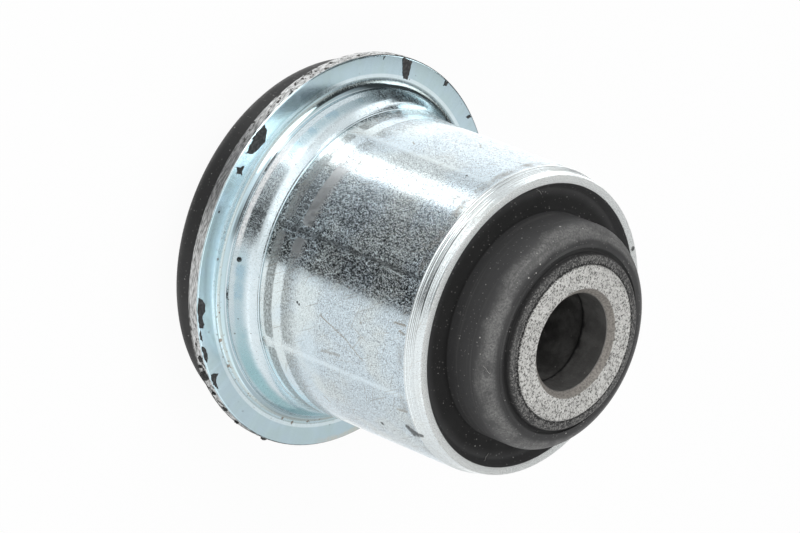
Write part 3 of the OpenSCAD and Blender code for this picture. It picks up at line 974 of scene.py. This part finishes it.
def makeSteel(s):
    mat, tree, shader = newSurface("bare_steel")
    place = places(tree)
    radius, height = axisParts(tree, place)[:2]
    fine, broad, cloud = [grain(tree, place, size, 3.0) for size in (0.3, 1.2, 3.2)]
    colour = blend(tree, ramp(tree, cloud, 0.4, 0.62, 0.0, 0.55), s["face"], s["grey"])
    colour = blend(tree, ramp(tree, fine, 0.54, 0.38, 0.0, 0.95), colour, s["pit"])
    for way in s["markWays"]:
        colour = blend(tree, product(tree, scratches(tree, place, way, *s["mark"]), 0.35), colour, s["shine"])
    # mouth and outer edge, the same at both ends
    fromMiddle = sums(tree, "ABSOLUTE", minus(tree, height, s["middle"]))
    wobble = minus(tree, broad, 0.5)
    ragged = total(tree, radius, product(tree, wobble, 0.2))
    mouth = blend(tree, ramp(tree, fine, 0.6, 0.35, 0.0, 0.7), s["mouth"], s["mouthPit"])
    edge = total(tree, radius, product(tree, minus(tree, fine, 0.5), 0.8))
    # bore: dark with lighter clouds, lighter lands, dust, and a dark line where the relief starts, painted shade at its
    # edge
    inBore = product(tree, ramp(tree, radius, 7.75, 7.6), ramp(tree, fromMiddle, 26.75, 26.6))
    boreClouds = ramp(tree, total(tree, cloud, product(tree, wobble, 0.3)), 0.35, 0.75, 0.0, 0.7)
    dark = layers(tree, blend(tree, boreClouds, s["bore"], s["film"]),
                  (ramp(tree, fromMiddle, 22.2, 24.0, 0.0, 0.35), s["film"]),
                  (product(tree, specks(tree, place, *s["specks"]), 0.6), s["dust"]))
    # painted shade: a dark line at the edge of the relief
    seamAndShade = band(tree, total(tree, fromMiddle, product(tree, wobble, 0.8)), *s["reliefShadeFromMiddle"])
    colour = layers(tree, colour, (ramp(tree, ragged, *s["mouthEdge"]), mouth),
                    (ramp(tree, edge, *s["outerEdge"]), s["seamAndShade"]), (inBore, dark), (product(tree, seamAndShade, inBore), s["seamAndShade"]))
    shader.inputs["Metallic"].default_value = s["metal"]
    dress(tree, shader, colour, ramp(tree, fine, 0.3, 0.7, 0.7, 0.55), fine, depth=0.04)
    return mat


for piece, mat in ((sleeve, makeZinc(zincSet)), (rubber, makeBlackRubber(rubberLook)),
                   (boltSleeve, makeSteel(steelSet)), (flash, makeFlashRubber(flashLook)), (lint, makeLintMaterial(lintLook))):
    piece.data.materials.clear()
    piece.data.materials.append(mat)
print("materials made")


# studio: pale floor, soft lamps, white surround with dark flags that show in the metal
studioSet = {
    "ambient": 0.45, "floorSize": 6, "floorPale": (0.94, 0.94, 0.94, 1), "floorShare": 0.95, "white": (1, 1, 1, 1),
    "aim": (0, 0, 0.03),
    "lamps": [
        {"name": "keyLamp", "from": (-150, 45), "away": 0.9, "size": 0.7, "power": 2.6, "shows": True},
        {"name": "fillLamp", "from": (-40, 50), "away": 1.0, "size": 0.8, "power": 1.6, "shows": False},
        {"name": "topLamp", "from": (60, 75), "away": 1.0, "size": 0.9, "power": 1.4, "shows": True},
    ],
    # shade of the surround by bearing: low and middle under the horizon, the verge at it, flags and high above it
    "low": [(-180, 0.74), (-167, 0.72), (-164, 2.7), (-149.2, 2.7), (-146.2, 0.36), (-137, 0.29), (-122, 0.135),
            (-108, 0.08), (-94, 0.062), (-82, 0.028), (-66.2, 0.03), (-63.2, 0.95), (-50, 0.97), (0, 0.9), (20, 0.83),
            (60, 0.85), (80, 1.2), (120, 1.5), (150, 1.45), (160, 1.3), (174, 1.15), (180, 0.74)],
    "middle": [(-180, 0.85), (-166, 0.8), (-150, 0.9), (-136, 1.2), (-117, 1.4), (-99, 1.35), (-81, 1.0), (-63, 0.95),
               (-44, 1.0), (-8, 0.95), (10, 0.94), (25, 0.85), (60, 0.8), (100, 0.9), (112, 0.08), (146, 0.06),
               (150, 1.5), (164, 1.5), (172, 1.25), (180, 0.85)],
    "verge": [(-180, 0.7), (-168, 0.7), (-152, 0.68), (-142, 0.8), (-136, 1.3), (-117, 1.3), (-99, 1.1), (-81, 0.6),
              (-70, 0.85), (-45, 1.15), (-10, 1.15), (24, 0.9), (60, 0.7), (100, 0.8), (116, 0.07), (153, 0.08),
              (160, 0.35), (167, 0.85), (174, 0.8), (180, 0.7)],
    "flags": [(-180, 0.75), (-168, 0.9), (-152, 1.05), (-143, 1.2), (-139, 2.4), (-129, 2.4), (-124, 0.9), (-112, 0.55),
              (-103, 0.3), (-94, 0.12), (-84, 0.08), (-77, 0.3), (-70, 0.95), (-60, 1.0), (0, 0.9), (50, 0.65),
              (75, 0.95), (100, 0.95), (110, 0.07), (156, 0.06), (166, 0.4), (174, 0.7), (180, 0.75)],
    "high": [(-180, 0.06), (-170, 0.2), (-158, 0.95), (-130, 1.6), (-119, 1.5), (-104, 1.2), (-84, 0.5), (-76, 0.5),
             (-66, 1.1), (-10, 1.3), (40, 1.6), (60, 0.9), (84, 0.86), (88, 0.9), (93, 1.08), (100, 0.95), (107, 0.5),
             (114, 0.2), (122, 0.15), (140, 0.06), (151, 0.05), (180, 0.06)],
    # rise in degrees where one of them turns into the next
    "lowTop": (-28.5, -25), "vergeFoot": (-11.5, -8.5), "flagFoot": (-5, 0), "flagTurn": (23, 28), "flagTop": (48, 58),
    "above": 1.15,
    # two small bright cards: bearing, rise, shade
    "cards": [((116, 120, 139, 142), (17, 19, 34.5, 36.5), 3.4), ((130, 133, 149, 152), (-30, -27, -21, -18.5), 1.5)],
}


def seenWhite(tree):
    light = add(tree, "ShaderNodeLightPath").outputs
    seen = total(tree, light["Is Camera Ray"], light["Is Glossy Ray"])
    return sums(tree, "ADD", seen, light["Is Transmission Ray"], clamp=True)


def makeFloor(s):
    nothingPicked()
    bpy.ops.mesh.primitive_plane_add(size=s["floorSize"], location=(0, 0, cadLow.z))
    floor = bpy.context.object
    floor.name = "paleFloor"
    mat, tree, end = newMaterial("paleFloor")
    pale = add(tree, "ShaderNodeBsdfDiffuse", {"Color": s["floorPale"]})
    white = add(tree, "ShaderNodeEmission", {"Color": s["white"], "Strength": 1.0})
    mix = add(tree, "ShaderNodeMixShader", {0: product(tree, seenWhite(tree), s["floorShare"]), 1: pale.outputs[0],
                                            2: white.outputs[0]})
    tree.links.new(mix.outputs[0], end)
    floor.data.materials.append(mat)
    floor.visible_glossy = False  # the metal shows the surround instead


def grey(shade):
    return (shade, shade, shade, 1)


def stops(tree, bearing, table):
    node = add(tree, "ShaderNodeValToRGB", {0: divided(tree, total(tree, bearing, 180.0), 360.0)})
    points = node.color_ramp.elements
    while len(points) < len(table):
        points.new(0.5)
    for point, (degrees, shade) in zip(points, table):
        point.position, point.color = (degrees + 180) / 360, grey(shade)
    return node.outputs[0]


def surround(tree, s):
    way = add(tree, "ShaderNodeSeparateXYZ", {0: add(tree, "ShaderNodeTexCoord").outputs["Generated"]}).outputs
    bearing = sums(tree, "DEGREES", sums(tree, "ARCTAN2", way[1], way[0]))
    rise = sums(tree, "DEGREES", sums(tree, "ARCSINE", way[2]))
    low, middle, verge, flags, high = [stops(tree, bearing, s[name])
                                       for name in ("low", "middle", "verge", "flags", "high")]
    under = blend(tree, ramp(tree, rise, *s["lowTop"]), low, middle)
    under = blend(tree, ramp(tree, rise, *s["vergeFoot"]), under, verge)
    over = blend(tree, ramp(tree, rise, *s["flagTurn"]), flags, high)
    over = blend(tree, ramp(tree, rise, *s["flagTop"]), over, grey(s["above"]))
    shade = blend(tree, ramp(tree, rise, *s["flagFoot"]), under, over)
    for sides, heights, shine in s["cards"]:
        card = product(tree, within(tree, bearing, *sides), within(tree, rise, *heights))
        shade = blend(tree, card, shade, grey(shine))
    return shade


def makeWorld(s):
    world = bpy.data.worlds.new("softWorld")
    scene.world = world
    world.use_nodes = True
    tree = world.node_tree
    tree.nodes.clear()
    out = tree.nodes.new("ShaderNodeOutputWorld")
    light = add(tree, "ShaderNodeLightPath").outputs
    soft, studio, white = [add(tree, "ShaderNodeBackground", {"Color": colour, "Strength": strength}).outputs[0]
                           for colour, strength in ((s["white"], s["ambient"]), (surround(tree, s), 1.0),
                                                    (s["white"], 1.0))]
    mirror = add(tree, "ShaderNodeMixShader", {0: light["Is Glossy Ray"], 1: soft, 2: studio}).outputs[0]
    clear = sums(tree, "ADD", light["Is Camera Ray"], light["Is Transmission Ray"], clamp=True)
    mix = add(tree, "ShaderNodeMixShader", {0: clear, 1: mirror, 2: white})
    tree.links.new(mix.outputs[0], out.inputs[0])


def fromAngles(azimuth, elevation):
    a, e = math.radians(azimuth), math.radians(elevation)
    return Vector((math.cos(a) * math.cos(e), math.sin(a) * math.cos(e), math.sin(e)))


def addLamp(lamp, aim):
    data = bpy.data.lights.new(lamp["name"], "AREA")
    data.shape, data.size, data.energy = "DISK", lamp["size"], lamp["power"]
    obj = bpy.data.objects.new(lamp["name"], data)
    scene.collection.objects.link(obj)
    way = fromAngles(*lamp["from"])
    obj.location = way * lamp["away"] + Vector(aim)
    obj.rotation_euler = way.to_track_quat("Z", "Y").to_euler()
    obj.visible_glossy = lamp["shows"]


makeFloor(studioSet)
makeWorld(studioSet)
for lamp in studioSet["lamps"]:
    addLamp(lamp, studioSet["aim"])
print("studio lit")
